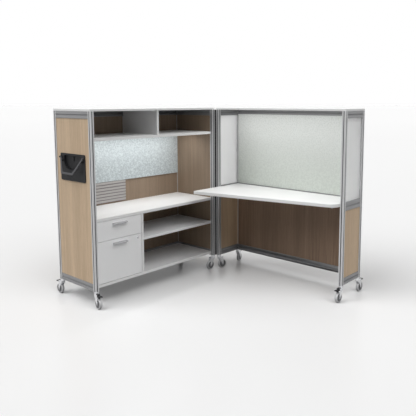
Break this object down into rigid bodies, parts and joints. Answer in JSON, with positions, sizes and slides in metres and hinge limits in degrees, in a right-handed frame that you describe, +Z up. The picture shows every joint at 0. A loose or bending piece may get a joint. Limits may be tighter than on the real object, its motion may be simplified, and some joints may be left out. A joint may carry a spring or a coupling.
{
  "type": "cubicle workstation",
  "caption": "Folding cubicle workstation on locking casters: a storage unit with drawers, shelves and a tackboard, hinged to a desk unit with a tapered worksurface and frosted end screens.",
  "frame": {"origin": "on the floor, under the centre of the bounding box", "axes": "+Z up; the storage unit's open front faces -Y and the desk unit's open front faces -X"},
  "size_m": [1.6144, 1.7434, 1.384],
  "materials": {
    "aluminium": "brushed",
    "black": "satin",
    "black_steel": "satin",
    "chrome": "polished",
    "frost": "frosted",
    "laminate": "white laminate",
    "oak": "wood grain laminate",
    "steel": "satin",
    "tack": "mottled",
    "walnut": "wood grain laminate",
    "wheel": "matte"
  },
  "bodies": {
    "storage_unit": {"storage_posts": "aluminium", "storage_rails": "aluminium", "storage_top_panel": "laminate", "storage_left_end_panel": "oak", "storage_right_end_panel": "oak", "storage_back_panel": "oak", "storage_tackboard": "tack", "slat_backing": "aluminium", "slats": "aluminium", "overhead_shelf": "laminate", "overhead_divider": "laminate", "credenza_top": "laminate", "pedestal_partition": "laminate", "middle_shelf": "laminate", "bottom_shelf": "laminate", "cabinet_runners": "steel", "storage_hinge_leaf": "black_steel", "hinge_pin": "steel", "end_handle_plate": "black"},
    "desk_unit": {"desk_posts": "aluminium", "desk_rails": "aluminium", "desk_top_panel": "laminate", "desk_tackboard": "tack", "desk_back_panel": "walnut", "desk_end_screens": "frost", "desk_end_panels": "oak", "worksurface": "laminate", "worksurface_brackets": "steel", "desk_hinge_leaf": "black_steel"},
    "handle_bail": {"end_handle_bail": "black"},
    "box_drawer": {"box_drawer_tray": "steel", "box_drawer_front": "laminate", "box_drawer_pull": "steel", "box_drawer_runners": "steel"},
    "file_drawer": {"file_drawer_tray": "steel", "file_drawer_front": "laminate", "file_drawer_pull": "steel", "file_drawer_runners": "steel"},
    "drawer_lock": {"lock_cylinder": "steel"},
    "storage_left_front_fork": {"storage_left_front_fork": "chrome"},
    "storage_left_front_wheel": {"storage_left_front_wheel": "wheel"},
    "storage_left_front_brake": {"storage_left_front_brake": "black"},
    "storage_left_back_fork": {"storage_left_back_fork": "chrome"},
    "storage_left_back_wheel": {"storage_left_back_wheel": "wheel"},
    "storage_left_back_brake": {"storage_left_back_brake": "black"},
    "storage_hinge_front_fork": {"storage_hinge_front_fork": "chrome"},
    "storage_hinge_front_wheel": {"storage_hinge_front_wheel": "wheel"},
    "storage_hinge_back_fork": {"storage_hinge_back_fork": "chrome"},
    "storage_hinge_back_wheel": {"storage_hinge_back_wheel": "wheel"},
    "desk_hinge_front_fork": {"desk_hinge_front_fork": "chrome"},
    "desk_hinge_front_wheel": {"desk_hinge_front_wheel": "wheel"},
    "desk_hinge_back_fork": {"desk_hinge_back_fork": "chrome"},
    "desk_hinge_back_wheel": {"desk_hinge_back_wheel": "wheel"},
    "desk_hinge_back_brake": {"desk_hinge_back_brake": "black"},
    "desk_far_front_fork": {"desk_far_front_fork": "chrome"},
    "desk_far_front_wheel": {"desk_far_front_wheel": "wheel"},
    "desk_far_front_brake": {"desk_far_front_brake": "black"},
    "desk_far_back_fork": {"desk_far_back_fork": "chrome"},
    "desk_far_back_wheel": {"desk_far_back_wheel": "wheel"},
    "desk_far_back_brake": {"desk_far_back_brake": "black"}
  },
  "joints": [
    {"name": "unit_fold", "type": "hinge", "parent": "storage_unit", "child": "desk_unit", "pos_m": [0.47268, 0.35925, 0.119], "axis": [0, 0, 1], "range_deg": [-70, 90]},
    {"name": "box_drawer_slide", "type": "slide", "parent": "storage_unit", "child": "box_drawer", "axis": [0, -1, 0], "range_m": [0, 0.3]},
    {"name": "file_drawer_slide", "type": "slide", "parent": "storage_unit", "child": "file_drawer", "axis": [0, -1, 0], "range_m": [0, 0.3]},
    {"name": "lock_turn", "type": "hinge", "parent": "file_drawer", "child": "drawer_lock", "pos_m": [-0.36032, 0.37825, 0.429], "axis": [0, -1, 0], "range_deg": [0, 90]},
    {"name": "bail_swing", "type": "hinge", "parent": "storage_unit", "child": "handle_bail", "pos_m": [-0.76332, 0.58775, 1.043], "axis": [0, 1, 0], "range_deg": [0, 60]},
    {"name": "storage_left_front_swivel", "type": "hinge", "parent": "storage_unit", "child": "storage_left_front_fork", "pos_m": [-0.74132, 0.37325, 0.119], "axis": [0, 0, 1], "continuous": true},
    {"name": "storage_left_front_roll", "type": "hinge", "parent": "storage_left_front_fork", "child": "storage_left_front_wheel", "pos_m": [-0.74577, 0.34156, 0.0375], "axis": [0.9903, -0.1392, 0], "continuous": true},
    {"name": "storage_left_front_brake_press", "type": "hinge", "parent": "storage_left_front_fork", "child": "storage_left_front_brake", "pos_m": [-0.7448, 0.34849, 0.089], "axis": [0.9903, -0.1392, 0], "range_deg": [0, 14]},
    {"name": "storage_left_back_swivel", "type": "hinge", "parent": "storage_unit", "child": "storage_left_back_fork", "pos_m": [-0.74132, 0.80225, 0.119], "axis": [0, 0, 1], "continuous": true},
    {"name": "storage_left_back_roll", "type": "hinge", "parent": "storage_left_back_fork", "child": "storage_left_back_wheel", "pos_m": [-0.74132, 0.83425, 0.0375], "axis": [-1, 0, 0], "continuous": true},
    {"name": "storage_left_back_brake_press", "type": "hinge", "parent": "storage_left_back_fork", "child": "storage_left_back_brake", "pos_m": [-0.74132, 0.82725, 0.089], "axis": [-1, 0, 0], "range_deg": [0, 14]},
    {"name": "storage_hinge_front_swivel", "type": "hinge", "parent": "storage_unit", "child": "storage_hinge_front_fork", "pos_m": [0.44968, 0.37325, 0.119], "axis": [0, 0, 1], "range_deg": [-80, 5]},
    {"name": "storage_hinge_front_roll", "type": "hinge", "parent": "storage_hinge_front_fork", "child": "storage_hinge_front_wheel", "pos_m": [0.4178, 0.37604, 0.0375], "axis": [-0.0872, -0.9962, 0], "continuous": true},
    {"name": "storage_hinge_back_swivel", "type": "hinge", "parent": "storage_unit", "child": "storage_hinge_back_fork", "pos_m": [0.44968, 0.80225, 0.119], "axis": [0, 0, 1], "continuous": true},
    {"name": "storage_hinge_back_roll", "type": "hinge", "parent": "storage_hinge_back_fork", "child": "storage_hinge_back_wheel", "pos_m": [0.43874, 0.77218, 0.0375], "axis": [0.9397, -0.342, 0], "continuous": true},
    {"name": "desk_hinge_front_swivel", "type": "hinge", "parent": "desk_unit", "child": "desk_hinge_front_fork", "pos_m": [0.48668, 0.33625, 0.119], "axis": [0, 0, 1], "range_deg": [-78, 7]},
    {"name": "desk_hinge_front_roll", "type": "hinge", "parent": "desk_hinge_front_fork", "child": "desk_hinge_front_wheel", "pos_m": [0.51798, 0.3296, 0.0375], "axis": [0.2079, 0.9781, 0], "continuous": true},
    {"name": "desk_hinge_back_swivel", "type": "hinge", "parent": "desk_unit", "child": "desk_hinge_back_fork", "pos_m": [0.73768, 0.33625, 0.119], "axis": [0, 0, 1], "continuous": true},
    {"name": "desk_hinge_back_roll", "type": "hinge", "parent": "desk_hinge_back_fork", "child": "desk_hinge_back_wheel", "pos_m": [0.76811, 0.34614, 0.0375], "axis": [-0.309, 0.9511, 0], "continuous": true},
    {"name": "desk_hinge_back_brake_press", "type": "hinge", "parent": "desk_hinge_back_fork", "child": "desk_hinge_back_brake", "pos_m": [0.76146, 0.34397, 0.089], "axis": [-0.309, 0.9511, 0], "range_deg": [0, 14]},
    {"name": "desk_far_front_swivel", "type": "hinge", "parent": "desk_unit", "child": "desk_far_front_fork", "pos_m": [0.48668, -0.85475, 0.119], "axis": [0, 0, 1], "continuous": true},
    {"name": "desk_far_front_roll", "type": "hinge", "parent": "desk_far_front_fork", "child": "desk_far_front_wheel", "pos_m": [0.45468, -0.85475, 0.0375], "axis": [0, -1, 0], "continuous": true},
    {"name": "desk_far_front_brake_press", "type": "hinge", "parent": "desk_far_front_fork", "child": "desk_far_front_brake", "pos_m": [0.46168, -0.85475, 0.089], "axis": [0, -1, 0], "range_deg": [0, 14]},
    {"name": "desk_far_back_swivel", "type": "hinge", "parent": "desk_unit", "child": "desk_far_back_fork", "pos_m": [0.73768, -0.85475, 0.119], "axis": [0, 0, 1], "continuous": true},
    {"name": "desk_far_back_roll", "type": "hinge", "parent": "desk_far_back_fork", "child": "desk_far_back_wheel", "pos_m": [0.76968, -0.85475, 0.0375], "axis": [0, 1, 0], "continuous": true},
    {"name": "desk_far_back_brake_press", "type": "hinge", "parent": "desk_far_back_fork", "child": "desk_far_back_brake", "pos_m": [0.76268, -0.85475, 0.089], "axis": [0, 1, 0], "range_deg": [0, 14]}
  ]
}
